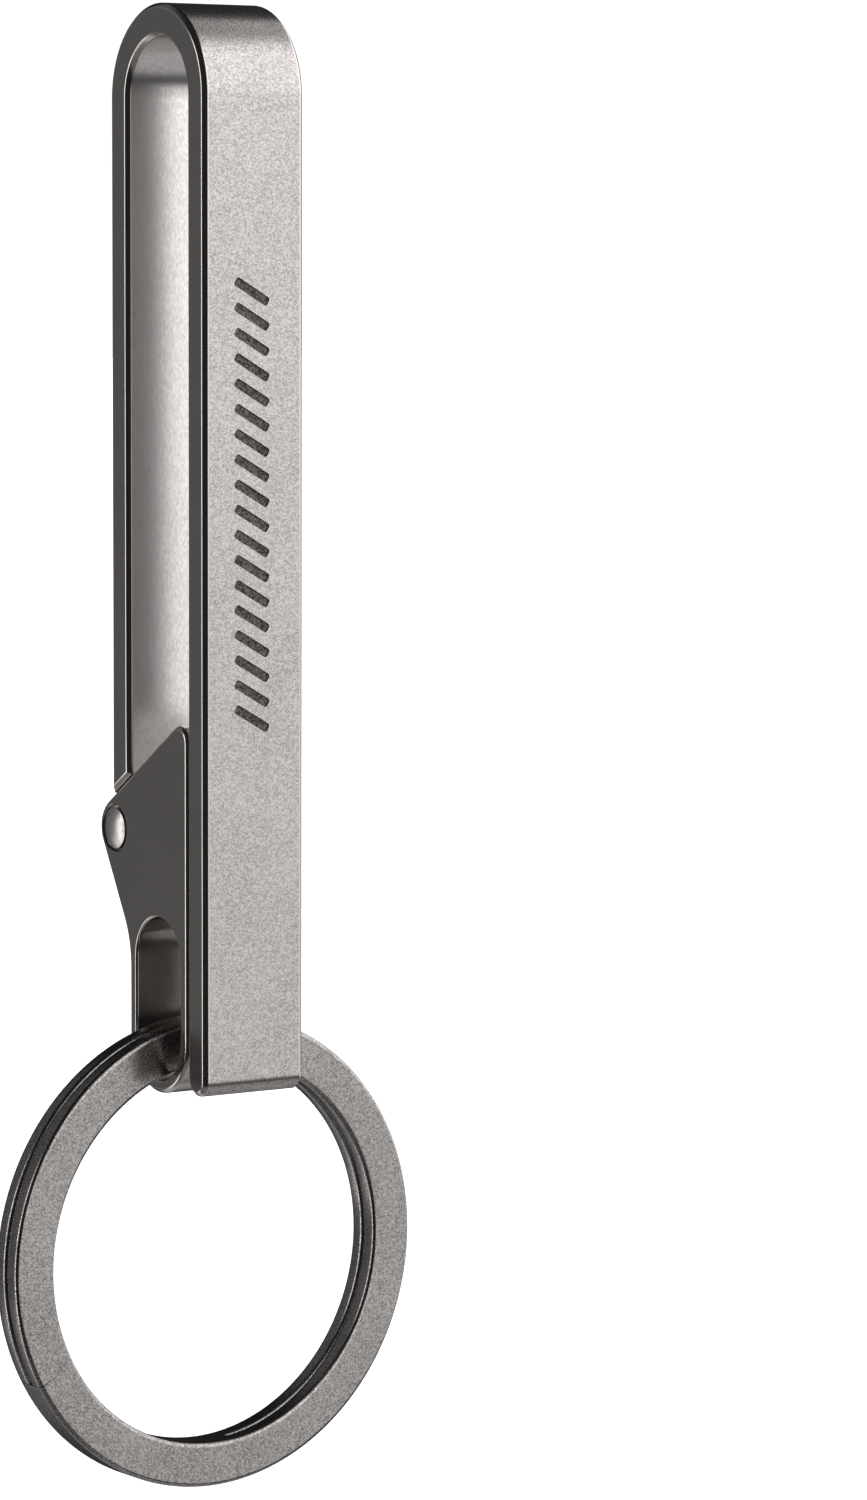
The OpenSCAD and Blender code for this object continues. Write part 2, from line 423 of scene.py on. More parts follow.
def revolve(mesh: bmesh.types.BMesh, profile: Sequence[Point], centre: Point, steps: int,
            slot: int = 0) -> None:
    """Turns a profile round an axis along Y; both ends of the profile lie on the axis.

    Args:
        mesh: Mesh that takes the turned solid.
        profile: Points as (radius, y) in mm.
        centre: Axis position as (x, z) in mm.
        steps: Number of facets round the axis.
        slot: Material slot of the faces.
    """
    rings = []
    for radius, y in profile:
        if radius == 0:
            rings.append([mesh.verts.new((centre[0] * MM, y * MM, centre[1] * MM))])
            continue
        turn = [2 * math.pi * i / steps for i in range(steps)]
        rings.append([mesh.verts.new(((centre[0] + radius * math.cos(t)) * MM, y * MM,
                                      (centre[1] + radius * math.sin(t)) * MM)) for t in turn])
    for low, high in zip(rings, rings[1:]):
        for i in range(steps):
            j = (i + 1) % steps
            corners = [low[i % len(low)], low[j % len(low)], high[j % len(high)], high[i % len(high)]]
            face = mesh.faces.new(list(dict.fromkeys(corners)))
            face.material_index = slot


class ToolUse(Enum):
    """What a tool solid does to a piece."""

    JOIN = "UNION"
    CUT = "DIFFERENCE"


class Shop:
    """Turns built meshes into finished pieces.

    Attributes:
        SHARP: Turn between two faces past which their edge stays crisp.
        WELD: Distance in metres within which points are joined.
        FLAT_WEIGHT: How far a large flat face outweighs its narrow neighbours in shading.
    """

    SHARP = math.radians(32)
    WELD = MM * 1e-4
    FLAT_WEIGHT = 80

    @staticmethod
    def place(name: str, mesh: bmesh.types.BMesh, finishes: Sequence[bpy.types.Material]) -> bpy.types.Object:
        """Makes an object of a bmesh, with normals outwards.

        Args:
            name: Name of the object.
            mesh: The built mesh, which is freed.
            finishes: One material for each slot.

        Returns:
            The new object at the origin.
        """
        bmesh.ops.remove_doubles(mesh, verts=mesh.verts, dist=Shop.WELD)
        bmesh.ops.recalc_face_normals(mesh, faces=mesh.faces)
        data = bpy.data.meshes.new(name)
        mesh.to_mesh(data)
        mesh.free()
        for finish in finishes:
            data.materials.append(finish)
        made = bpy.data.objects.new(name, data)
        bpy.context.scene.collection.objects.link(made)
        return made

    @staticmethod
    def bake(piece: bpy.types.Object) -> None:
        """Replaces a piece's mesh with what its modifiers make, and removes them."""
        evaluated = piece.evaluated_get(bpy.context.evaluated_depsgraph_get())
        data = bpy.data.meshes.new_from_object(evaluated)
        piece.modifiers.clear()
        old, piece.data = piece.data, data
        bpy.data.meshes.remove(old)
        data.name = piece.name

    @classmethod
    def combine(cls, piece: bpy.types.Object, tool: bpy.types.Object, use: ToolUse) -> None:
        """Joins a tool solid to a piece or cuts it with one, and removes the tool.

        Args:
            piece: The piece that is changed.
            tool: The other solid, whose materials are carried over.
            use: Whether the tool joins or cuts.
        """
        modifier = piece.modifiers.new("cut", "BOOLEAN")
        modifier.operation = use.value
        modifier.solver = "EXACT"
        modifier.material_mode = "TRANSFER"
        modifier.object = tool
        cls.bake(piece)
        bpy.data.objects.remove(tool)

    @classmethod
    def smooth(cls, piece: bpy.types.Object) -> None:
        """Shades a piece smooth, keeps its corners crisp and its flat faces flat."""
        piece.data.shade_smooth()
        piece.data.set_sharp_from_angle(angle=cls.SHARP)
        modifier = piece.modifiers.new("weights", "WEIGHTED_NORMAL")
        modifier.keep_sharp = True
        modifier.weight = cls.FLAT_WEIGHT
        cls.bake(piece)


class GeometryTree:
    """A Geometry Nodes tree with named inputs, built node by node."""

    def __init__(self, name: str) -> None:
        """Starts an empty tree.

        Args:
            name: Name of the tree.
        """
        self.tree = bpy.data.node_groups.new(name, "GeometryNodeTree")
        self.tree.interface.new_socket("Geometry", in_out="OUTPUT", socket_type="NodeSocketGeometry")
        self.tree.is_modifier = True
        self.inputs: dict[str, tuple[str, object]] = {}
        self.source: bpy.types.Node | None = None

    def declare(self, sizes: dict[str, float | int]) -> None:
        """Adds the tree's named inputs; whole numbers become integer sockets.

        Args:
            sizes: Input name to value.
        """
        for name, value in sizes.items():
            kind = "NodeSocketInt" if isinstance(value, int) else "NodeSocketFloat"
            socket = self.tree.interface.new_socket(name, in_out="INPUT", socket_type=kind)
            self.inputs[name] = (socket.identifier, value)
        self.source = self.tree.nodes.new("NodeGroupInput")

    def size(self, name: str) -> bpy.types.NodeSocket:
        """Output socket that carries a named input."""
        return self.source.outputs[name]

    def node(self, kind: str, settings: dict | None = None, values: dict | None = None,
             links: dict | None = None) -> bpy.types.Node:
        """Adds a node to this tree, as add() does."""
        return add(self.tree, kind, settings, values, links)

    def math(self, operation: str, first: object, second: object = 0.0) -> bpy.types.NodeSocket:
        """Adds a Math node on two sockets or numbers.

        Args:
            operation: The node's operation.
            first: Socket or number.
            second: Socket or number.

        Returns:
            The result's socket.
        """
        node = self.node("ShaderNodeMath", {"operation": operation})
        for index, item in enumerate((first, second)):
            if isinstance(item, bpy.types.NodeSocket):
                self.tree.links.new(item, node.inputs[index])
            else:
                node.inputs[index].default_value = item
        return node.outputs["Value"]

    def finish(self, geometry: bpy.types.NodeSocket, material: bpy.types.Material) -> None:
        """Ends the tree in Realize Instances and Set Material.

        Args:
            geometry: What the tree has made.
            material: Material of the whole result.
        """
        real = self.node("GeometryNodeRealizeInstances", links={"Geometry": geometry})
        dressed = self.node("GeometryNodeSetMaterial", values={"Material": material},
                            links={"Geometry": real.outputs["Geometry"]})
        self.node("NodeGroupOutput", links={0: dressed.outputs["Geometry"]})

    def run(self, name: str) -> bpy.types.Object:
        """Evaluates the tree on an empty mesh and keeps the result as a plain mesh.

        Args:
            name: Name of the new object.

        Returns:
            The object, with no modifier left.
        """
        made = bpy.data.objects.new(name, bpy.data.meshes.new(name))
        bpy.context.scene.collection.objects.link(made)
        modifier = made.modifiers.new("nodes", "NODES")
        modifier.node_group = self.tree
        for identifier, value in self.inputs.values():
            modifier[identifier] = value
        Shop.bake(made)
        return made


# ---------------------------------------------------------------- layout, read from the CAD frame

@dataclass(frozen=True)
class Layout:
    """Places that the pieces share, in mm, read from the CAD nodes and joints.

    Attributes:
        half_depth: Outer face of each leg, from the middle.
        width: Width of the strip.
        top: Top of the bend.
        foot: Lowest point of the long leg.
        pivot: Pivot axis as (x, z).
        swing: Centre of the round floor of the ring slot, as (x, z).
        gate_foot: Lowest point of the gate.
        gate_width: Width of the gate.
        strip: Thickness of the strip.
    """

    half_depth: float
    width: float
    top: float
    foot: float
    pivot: Point
    swing: Point
    gate_foot: float
    gate_width: float
    strip: float

    @property
    def inner(self) -> float:
        """Inner face of each leg, from the middle."""
        return self.half_depth - self.strip

    @property
    def bend(self) -> float:
        """Height of the bend's centre."""
        return self.top - self.half_depth

    @classmethod
    def read(cls) -> "Layout":
        """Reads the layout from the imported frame."""
        strip_low, strip_high = (Vector(c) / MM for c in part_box("clip_frame"))
        gate_low, gate_high = (Vector(c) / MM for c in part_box("gate_lever"))
        axes = {joint["name"]: Vector(joint["pos_m"]) / MM for joint in frame["joints"]}
        pivot, swing = axes["gate_pivot"], axes["ring_swing"]
        # The origin lies on the bend's inner face, so the top's height is the strip's thickness.
        return cls(half_depth=strip_high.x, width=strip_high.y - strip_low.y, top=strip_high.z,
                   foot=strip_low.z, pivot=(pivot.x, pivot.z), swing=(swing.x, swing.z),
                   gate_foot=gate_low.z, gate_width=gate_high.y - gate_low.y, strip=strip_high.z)


# ---------------------------------------------------------------- pieces

@dataclass(frozen=True)
class HingeFit:
    """Sizes at the pivot that the frame and the gate share, in mm.

    Attributes:
        ear: Radius of the gate's ears, which the shoulders face.
        slope: Slope of the shoulders and of the gate's upper edge, in degrees.
        tongue: Width of the tongue along Y.
        eye: Radius of the tongue's eye.
        bore: Radius of the pin's hole.
    """

    ear: float = 2.05
    slope: float = 32.5
    tongue: float = 3.6
    eye: float = 1.45
    bore: float = 0.93


@dataclass
class ClipFrame:
    """The U-shaped spring frame with its tongue and engraving.

    Attributes:
        layout: Shared places.
        hinge: Shared sizes at the pivot.
        edge: Chamfer along the strip's edges.
        tongue_edge: Chamfer of the tongue.
        eye_edge: Chamfer of the hole in the tongue's eye.
        tongue_step: Step from the short leg's outer face down to the tongue's.
        shoulder_gap: Gap between the shoulders and the gate's sloped edge.
        strokes: Number of engraved strokes.
        stroke_pitch: Distance between strokes.
        stroke_length: Length of a stroke.
        stroke_width: Width of a stroke.
        stroke_angle: Slant of a stroke in degrees.
        stroke_depth: Depth of the engraving.
        stroke_corner: Rounding of a stroke's corners, as a share of its width.
        row_middle: Distance from the top of the bend to the middle of the row.
        row_offset: Distance of the row from the middle of the face.
    """

    layout: Layout
    hinge: HingeFit = HingeFit()
    edge: EdgeBreak = EdgeBreak(0.30, 0.09)
    tongue_edge: EdgeBreak = EdgeBreak(0.12, 0.03)
    eye_edge: EdgeBreak = EdgeBreak(0.06, 0.02)
    tongue_step: float = 0.02
    shoulder_gap: float = 0.12
    strokes: int = 18
    stroke_pitch: float = 1.65
    stroke_length: float = 2.9
    stroke_width: float = 0.62
    stroke_angle: float = -30.0
    stroke_depth: float = 0.10
    stroke_corner: float = 0.3
    row_middle: float = 32.9
    row_offset: float = -0.2

    def shoulder(self, x: float) -> float:
        """Height of the sloped shoulder at a place across the leg."""
        slope = math.radians(self.hinge.slope)
        rise = self.hinge.ear + self.shoulder_gap + (x - self.layout.pivot[0]) * math.sin(slope)
        return self.layout.pivot[1] + rise / math.cos(slope)

    def outline(self) -> Loop:
        """Side view of the strip: up the outer faces from the foot, and back down the inner faces."""
        at = self.layout
        foot_r = at.strip / 2
        foot = (at.half_depth - foot_r, at.foot + foot_r)
        outer_end = (-at.half_depth, self.shoulder(-at.half_depth))
        inner_end = (-at.inner, self.shoulder(-at.inner))
        foot_steps, long_steps, bend_steps, short_steps = 12, 16, 72, 12
        outer = arc(foot, foot_r, -90, 0, foot_steps)
        outer += run(outer[-1], (at.half_depth, at.bend), long_steps)
        outer += arc((0, at.bend), at.half_depth, 0, 180, bend_steps)
        outer += run(outer[-1], outer_end, short_steps) + [outer_end]
        inner = arc(foot, foot_r, -90, -180, foot_steps)[1:]
        inner += run(inner[-1], (at.inner, at.bend), long_steps)
        inner += arc((0, at.bend), at.inner, 0, 180, bend_steps)
        inner += run(inner[-1], inner_end, short_steps) + [inner_end]
        return outer + inner[::-1]

    def tongue(self) -> Plate:
        """The narrow tongue that reaches down to the pivot."""
        at, eye = self.layout, self.hinge.eye
        x, z = at.pivot
        left, right = -at.half_depth + self.tongue_step, x + eye
        root = self.shoulder(-at.half_depth) + at.strip
        meet = math.degrees(math.acos((left - x) / eye))
        loop = [(left, root)] + arc((x, z), eye, meet, 360, steps=48) + [(right, root)]
        hole = arc((x, z), self.hinge.bore, 360, 0, steps=40)[:-1]
        return Plate(loop, self.hinge.tongue, self.tongue_edge, [hole], self.eye_edge)

    def engraving(self, finish: bpy.types.Material) -> bpy.types.Object:
        """Solid strokes that cut the engraving, made by Geometry Nodes.

        Args:
            finish: Material that the cut faces take.

        Returns:
            The strokes as one object.
        """
        at = self.layout
        nodes = GeometryTree("engraved_strokes")
        nodes.declare({"Strokes": self.strokes, "Pitch": self.stroke_pitch * MM,
                       "Length": self.stroke_length * MM, "Width": self.stroke_width * MM,
                       "Depth": self.stroke_depth * MM, "Slant": math.radians(self.stroke_angle),
                       "Corner": self.stroke_corner, "Face": at.half_depth * MM,
                       "Middle": (at.top - self.row_middle) * MM, "Offset": self.row_offset * MM})
        size = nodes.size
        shape = nodes.node("GeometryNodeCurvePrimitiveQuadrilateral",
                           links={"Width": size("Length"), "Height": size("Width")})
        corner = nodes.math("MULTIPLY", size("Width"), size("Corner"))
        rounded = nodes.node("GeometryNodeFilletCurve", {"mode": "POLY"}, {"Count": 4},
                             {"Curve": shape.outputs["Curve"], "Radius": corner})
        filled = nodes.node("GeometryNodeFillCurve", {"mode": "NGONS"},
                            links={"Curve": rounded.outputs["Curve"]})
        # The tool is three times as tall as the engraving is deep, so that it stands clear of the face.
        reach = nodes.math("MULTIPLY", size("Depth"), 3.0)
        block = nodes.node("GeometryNodeExtrudeMesh",
                           links={"Mesh": filled.outputs["Mesh"], "Offset Scale": reach})
        under = nodes.node("GeometryNodeFlipFaces", links={"Mesh": filled.outputs["Mesh"]})
        closed = nodes.node("GeometryNodeJoinGeometry")
        nodes.tree.links.new(block.outputs["Mesh"], closed.inputs[0])
        nodes.tree.links.new(under.outputs["Mesh"], closed.inputs[0])
        merged = nodes.node("GeometryNodeMergeByDistance", values={"Distance": 1e-6},
                            links={"Geometry": closed.outputs["Geometry"]})
        spot = nodes.node("ShaderNodeCombineXYZ", links={"Z": size("Pitch")})
        row = nodes.node("GeometryNodeMeshLine", {"mode": "OFFSET"},
                         links={"Count": size("Strokes"), "Offset": spot.outputs["Vector"]})
        # A quarter turn about X and about Z stands the strokes up and faces them to +X.
        turn = nodes.node("ShaderNodeCombineXYZ", values={"X": math.pi / 2, "Z": math.pi / 2})
        lean = nodes.node("ShaderNodeCombineXYZ", links={"Z": size("Slant")})
        laid = nodes.node("GeometryNodeTransform",
                          links={"Geometry": merged.outputs["Geometry"], "Rotation": lean.outputs["Vector"]})
        stood = nodes.node("GeometryNodeInstanceOnPoints",
                           links={"Points": row.outputs["Mesh"], "Instance": laid.outputs["Geometry"],
                                  "Rotation": turn.outputs["Vector"]})
        span = nodes.math("MULTIPLY", nodes.math("SUBTRACT", size("Strokes"), 1.0), size("Pitch"))
        low = nodes.math("SUBTRACT", size("Middle"), nodes.math("MULTIPLY", span, 0.5))
        depth = nodes.math("SUBTRACT", size("Face"), size("Depth"))
        home = nodes.node("ShaderNodeCombineXYZ", links={"X": depth, "Y": size("Offset"), "Z": low})
        moved = nodes.node("GeometryNodeTransform",
                           links={"Geometry": stood.outputs["Instances"],
                                  "Translation": home.outputs["Vector"]})
        nodes.finish(moved.outputs["Geometry"], finish)
        return nodes.run("engraving_tool")

    def build(self) -> bpy.types.Object:
        """Builds and dresses the frame.

        Returns:
            The finished piece.
        """
        # The inner faces take the ground finish, whose brightened colour is partly painted light.
        finishes = [kind.material("frame") for kind in (BLASTED, CHAMFER, GROUND_WITH_PAINTED_LIGHT, CUT)]
        body = bmesh.new()
        Plate(self.outline(), self.layout.width, self.edge, ladder=True).build(body, face_slot=3)
        piece = Shop.place("spring_frame", body, finishes)
        tongue = bmesh.new()
        self.tongue().build(tongue, hole_slot=0)
        Shop.combine(piece, Shop.place("tongue_tool", tongue, finishes), ToolUse.JOIN)
        Shop.combine(piece, self.engraving(ENGRAVED.material("frame")), ToolUse.CUT)
        Shop.smooth(piece)
        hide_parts("clip_frame")
        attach(piece, "frame")
        return piece


@dataclass
class LeverGate:
    """The lever gate: ears, sloped tip, arm and ring slot.

    Attributes:
        layout: Shared places.
        hinge: Shared sizes at the pivot.
        edge: Chamfer of the outer edges.
        slot_edge: Chamfer of the slot's edges.
        tip_radius: Radius of the tip.
        blend_radius: Radius between the leaning edge and the arm.
        lean: Lean of the outer edge in degrees.
        seat_gap: Gap to the long leg.
        arm_floor: Thickness under the slot.
        slot_length: Length of the ring slot.
        pocket_gap: Clearance round the tongue.
        swing: Full opening in degrees.
        recess: Radius of the recess round each rivet head.
        recess_depth: Depth of the recess.
        flare: Widening of the recess at the gate's face.
    """

    layout: Layout
    hinge: HingeFit = HingeFit()
    edge: EdgeBreak = EdgeBreak(0.22, 0.10)
    slot_edge: EdgeBreak = EdgeBreak(0.14, 0.06)
    tip_radius: float = 1.2
    blend_radius: float = 6.5
    lean: float = 30.0
    seat_gap: float = 0.05
    arm_floor: float = 0.9
    slot_length: float = 10.9
    pocket_gap: float = 0.1
    swing: float = 133.0
    recess: float = 1.595
    recess_depth: float = 0.6
    flare: float = 0.05

    def outline(self) -> Loop:
        """Side view of the gate, from the sloped edge's end at the ear and round."""
        at, ear_r = self.layout, self.hinge.ear
        x, z = at.pivot
        slope, lean = math.radians(self.hinge.slope), math.radians(self.lean)
        edge_x = at.inner - self.seat_gap
        arm_r = (edge_x + at.inner) / 2
        arm = (edge_x - arm_r, at.gate_foot + arm_r)
        tip_x = edge_x - self.tip_radius
        rise = ear_r - self.tip_radius
        reach = (tip_x - x + rise * math.sin(slope)) / math.cos(slope)
        tip = (tip_x, z + rise * math.cos(slope) + reach * math.sin(slope))
        blend_x = arm[0] - arm_r - self.blend_radius
        drop = ear_r + self.blend_radius + math.cos(lean) * (blend_x - x)
        blend = (blend_x, z - drop / math.sin(lean))
        ear = arc((x, z), ear_r, 90 + self.hinge.slope, 180 + self.lean, steps=28)
        waist = arc(blend, self.blend_radius, self.lean, 0, steps=14)
        foot = arc(arm, arm_r, 180, 360, steps=48)
        nose = arc(tip, self.tip_radius, 0, 90 + self.hinge.slope, steps=20)
        return (ear + run(ear[-1], waist[0], steps=4) + waist + run(waist[-1], foot[0], steps=4) + foot
                + run(foot[-1], nose[0], steps=14) + nose + run(nose[-1], ear[0], steps=8))

    def ring_slot(self) -> Loop:
        """Clockwise outline of the ring slot."""
        at = self.layout
        low = at.swing
        radius = low[1] - at.gate_foot - self.arm_floor
        high = (low[0], at.gate_foot + self.arm_floor + self.slot_length - radius)
        floor, top = arc(low, radius, 0, -180, steps=40), arc(high, radius, 180, 0, steps=40)
        return floor + run(floor[-1], top[0], steps=6) + top + run(top[-1], floor[0], steps=6)

    def pocket(self) -> bpy.types.Object:
        """Tool that clears the tongue between the ears over the whole swing."""
        x, z = self.layout.pivot
        reach = 3 * self.layout.half_depth  # past every edge of the gate
        inner = self.hinge.eye + self.pocket_gap
        outer = self.layout.half_depth + x + self.pocket_gap
        turn = math.radians(self.swing)
        far = (Vector((-math.cos(turn), -math.sin(turn))) * outer
               + Vector((-math.sin(turn), math.cos(turn))) * reach)
        start = self.swing - 180 - math.degrees(math.acos(outer / inner))
        loop = [(x + inner, z + reach), (x - reach, z + reach), (x - reach, z), (x + far.x, z + far.y)]
        loop += arc((x, z), inner, start, 0, steps=40)
        pocket_edge = EdgeBreak(0.02, 0.005)
        mesh = bmesh.new()
        Plate(loop, self.hinge.tongue + 2 * self.pocket_gap, pocket_edge).build(mesh, 0, 0, 0)
        return Shop.place("pocket_tool", mesh, [BLASTED.material("gate")])

    def recesses(self) -> bpy.types.Object:
        """Tool that cuts the pin bore and the recess round each rivet head."""
        half = self.layout.gate_width / 2
        floor, past = half - self.recess_depth, 0.5
        half_profile = [(self.hinge.bore, floor), (self.recess, floor), (self.recess, half - self.flare),
                        (self.recess + self.flare + past, half + past), (0, half + past)]
        profile = [(r, -y) for r, y in reversed(half_profile)] + half_profile
        mesh = bmesh.new()
        revolve(mesh, profile, self.layout.pivot, steps=64)
        return Shop.place("recess_tool", mesh, [CHAMFER.material("gate")])

    def build(self) -> bpy.types.Object:
        """Builds and dresses the gate.

        Returns:
            The finished piece.
        """
        finishes = [kind.material("gate") for kind in (BLASTED, CHAMFER, MILLED, CUT)]
        mesh = bmesh.new()
        plate = Plate(self.outline(), self.layout.gate_width, self.edge, [self.ring_slot()], self.slot_edge)
        plate.build(mesh, face_slot=3)
        piece = Shop.place("lever_gate", mesh, finishes)
        Shop.combine(piece, self.pocket(), ToolUse.CUT)
        Shop.combine(piece, self.recesses(), ToolUse.CUT)
        Shop.smooth(piece)
        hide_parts("gate_lever")
        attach(piece, "gate")
        return piece


@dataclass
class RivetPin:
    """The rivet that the gate turns on.

    Attributes:
        layout: Shared places.
        shank: Radius of the shank.
        head: Radius of both heads.
        depth: Depth that the heads are let into the gate.
        dome: Height of the domed head above the gate's face.
        rise: Height of the flat head above the gate's face.
        ease: Rounding of the flat head's edges.
    """

    layout: Layout
    shank: float = 0.9
    head: float = 1.375
    depth: float = 0.6
    dome: float = 0.35
    rise: float = 0.25
    ease: float = 0.04

    def profile(self) -> list[Point]:
        """Half section of the rivet as (radius, y), from the dome at -Y to the flat head at +Y."""
        face = self.layout.gate_width / 2
        sphere = (self.head ** 2 + self.dome ** 2) / (2 * self.dome)
        opening = math.degrees(math.asin(self.head / sphere))
        cap = arc((0, -face - self.dome + sphere), sphere, -90, -90 + opening, steps=14)
        dome = [(0.0, cap[0][1])] + [(max(x, 0.0), y) for x, y in cap[1:]]
        half_ease = self.ease / 2
        flat = [(self.head, face - self.ease), (self.head - half_ease, face + half_ease),
                (self.head - self.rise + half_ease, face + self.rise - half_ease),
                (self.head - self.rise - self.ease, face + self.rise), (0.0, face + self.rise)]
        return dome + [(self.head, -face + self.depth), (self.shank, -face + self.depth),
                       (self.shank, face - self.depth), (self.head, face - self.depth)] + flat

    def build(self) -> bpy.types.Object:
        """Builds and dresses the rivet.

        Returns:
            The finished piece.
        """
        mesh = bmesh.new()
        revolve(mesh, self.profile(), self.layout.pivot, steps=64)
        piece = Shop.place("rivet_pin", mesh, [POLISHED.material("pin")])
        Shop.smooth(piece)
        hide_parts("pivot_pin")
        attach(piece, "gate")
        return piece


@dataclass
class SplitRing:
    """The key ring: two turns that part from a solid bridge, swept by Geometry Nodes.

    Attributes:
        outer: Outer radius.
        bore: Inner radius.
        thickness: Thickness of the whole ring.
        slit: Width of the slit between the turns.
        ease: Rounding of the corners of both turns.
        bridge: First and last angle of the bridge, in degrees from the top towards -Y.
        end_gap: Gap at each free end, in degrees.
        yaw: How far the ring hangs turned about the vertical, in degrees.
        step: Length of one piece of the arcs, in degrees.
    """

    outer: float = 16.0
    bore: float = 13.0
    thickness: float = 2.68
    slit: float = 0.08
    ease: float = 0.32
    bridge: tuple[float, float] = (118.0, 186.0)
    end_gap: float = 0.1
    yaw: float = 3.5
    step: float = 1.0

    def centre(self) -> Vector:
        """Centre of the ring, from its CAD node's box, in mm."""
        low, high = (Vector(c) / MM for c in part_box("split_ring"))
        return (low + high) / 2

    def sweep(self, nodes: GeometryTree, thickness: bpy.types.NodeSocket, span: tuple[float, float],
              lift: bpy.types.NodeSocket | None = None) -> bpy.types.NodeSocket:
        """Sweeps a rounded section along an arc, with both ends closed.

        Args:
            nodes: Tree that takes the nodes.
            thickness: Thickness of the section along the ring's axis.
            span: First and last angle in degrees.
            lift: Shift of the section along the ring's axis, if any.

        Returns:
            The swept mesh's socket.
        """
        size = nodes.size
        middle = nodes.math("MULTIPLY", nodes.math("ADD", size("Outer"), size("Bore")), 0.5)
        radial = nodes.math("SUBTRACT", size("Outer"), size("Bore"))
        sweep = span[1] - span[0]
        path = nodes.node("GeometryNodeCurveArc", {"mode": "RADIUS"},
                          {"Resolution": round(sweep / self.step) + 1, "Start Angle": math.radians(span[0]),
                           "Sweep Angle": math.radians(sweep)}, {"Radius": middle})
        block = nodes.node("GeometryNodeCurvePrimitiveQuadrilateral",
                           links={"Width": radial, "Height": thickness})
        section = nodes.node("GeometryNodeFilletCurve", {"mode": "POLY"}, {"Count": 6},
                             {"Curve": block.outputs["Curve"], "Radius": size("Ease")})
        swept = nodes.node("GeometryNodeCurveToMesh", values={"Fill Caps": True},
                           links={"Curve": path.outputs["Curve"], "Profile Curve": section.outputs["Curve"]})
        if lift is None:
            return swept.outputs["Mesh"]
        place = nodes.node("ShaderNodeCombineXYZ", links={"Z": lift})
        return nodes.node("GeometryNodeTransform",
                          links={"Geometry": swept.outputs["Mesh"],
                                 "Translation": place.outputs["Vector"]}).outputs["Geometry"]

    def tree(self, finish: bpy.types.Material) -> GeometryTree:
        """Builds the ring's tree: the bridge, and the two turns that leave it at opposite ends.

        Args:
            finish: Material of the ring.

        Returns:
            The finished tree.
        """
        nodes = GeometryTree("split_ring")
        nodes.declare({"Outer": self.outer * MM, "Bore": self.bore * MM, "Thickness": self.thickness * MM,
                       "Slit": self.slit * MM, "Ease": self.ease * MM})
        size = nodes.size
        turn = nodes.math("MULTIPLY", nodes.math("SUBTRACT", size("Thickness"), size("Slit")), 0.5)
        lift = nodes.math("MULTIPLY", nodes.math("ADD", turn, size("Slit")), 0.5)
        drop = nodes.math("MULTIPLY", lift, -1.0)
        start, stop = self.bridge
        parts = (self.sweep(nodes, size("Thickness"), (start, stop)),
                 self.sweep(nodes, turn, (stop, start + 360 - self.end_gap), lift),
                 self.sweep(nodes, turn, (stop + self.end_gap, start + 360), drop))
        joined = nodes.node("GeometryNodeJoinGeometry")
        for part in parts:
            nodes.tree.links.new(part, joined.inputs[0])
        nodes.finish(joined.outputs["Geometry"], finish)
        return nodes

    def build(self) -> bpy.types.Object:
        """Builds and dresses the ring.

        Returns:
            The finished piece.
        """
        finish = TUMBLED.material("ring")
        piece = self.tree(finish).run("split_key_ring")
        # The tree's angles start at +X. A half turn and a quarter turn put their start at the ring's top.
        stand = (Matrix.Rotation(math.radians(self.yaw), 4, "Z") @ Matrix.Rotation(math.pi / 2, 4, "Y")
                 @ Matrix.Rotation(math.pi, 4, "Z"))
        piece.data.transform(Matrix.Translation(self.centre() * MM) @ stand)
        Shop.smooth(piece)
        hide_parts("split_ring")
        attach(piece, "key_ring")
        return piece


# ---------------------------------------------------------------- studio

@dataclass(frozen=True)
class LightPatch:
    """A soft-edged bright patch of the surroundings, by direction from the clip.

    Attributes:
        azimuth: Middle of the patch in degrees, from +X towards +Y.
        spread: Half of its width in degrees; 180 goes all the way round.
        low: Lower edge in degrees above the horizon; -90 takes in everything below.
        high: Upper edge in degrees above the horizon.
        soft: Softness of its edges in degrees, each way.
        strength: Brightness of its middle.
    """

    azimuth: float
    spread: float
    low: float
    high: float
    soft: float
    strength: float

    def glow(self, tree: bpy.types.NodeTree, where: bpy.types.NodeSocket) -> bpy.types.NodeSocket:
        """Adds the nodes of this patch.

        Args:
            tree: The world's node tree.
            where: Socket with the direction.

        Returns:
            Socket with the patch's brightness in that direction.
        """
        turn = math.radians(self.azimuth)
        flat = add(tree, "ShaderNodeVectorMath", {"operation": "MULTIPLY"}, {1: (1.0, 1.0, 0.0)}, {0: where})
        level = add(tree, "ShaderNodeVectorMath", {"operation": "NORMALIZE"},
                    links={0: flat.outputs["Vector"]})
        ahead = add(tree, "ShaderNodeVectorMath", {"operation": "DOT_PRODUCT"},
                    {1: (math.cos(turn), math.sin(turn), 0.0)}, {0: level.outputs["Vector"]})
        tall = add(tree, "ShaderNodeSeparateXYZ", links={0: where})
        # Each limit is a source, its value where the patch ends and its value where it is full.
        limits = [(tall.outputs["Z"], math.sin(math.radians(self.high + self.soft)),
                   math.sin(math.radians(self.high - self.soft)))]
        if self.spread < 180:
            limits.append((ahead.outputs["Value"], math.cos(math.radians(self.spread + self.soft)),
                           math.cos(math.radians(max(0.0, self.spread - self.soft)))))
        if self.low > -90:
            limits.append((tall.outputs["Z"], math.sin(math.radians(self.low - self.soft)),
                           math.sin(math.radians(self.low + self.soft))))
        glow: bpy.types.NodeSocket | None = None
        for source, none, full in limits:
            edge = add(tree, "ShaderNodeMapRange", {"interpolation_type": "SMOOTHSTEP"},
                       {"From Min": none, "From Max": full}, {"Value": source})
            part = add(tree, "ShaderNodeMath", {"operation": "MULTIPLY"},
                       {1: self.strength if glow is None else 1.0}, {0: edge.outputs["Result"]})
            if glow is not None:
                tree.links.new(glow, part.inputs[1])
            glow = part.outputs["Value"]
        return glow


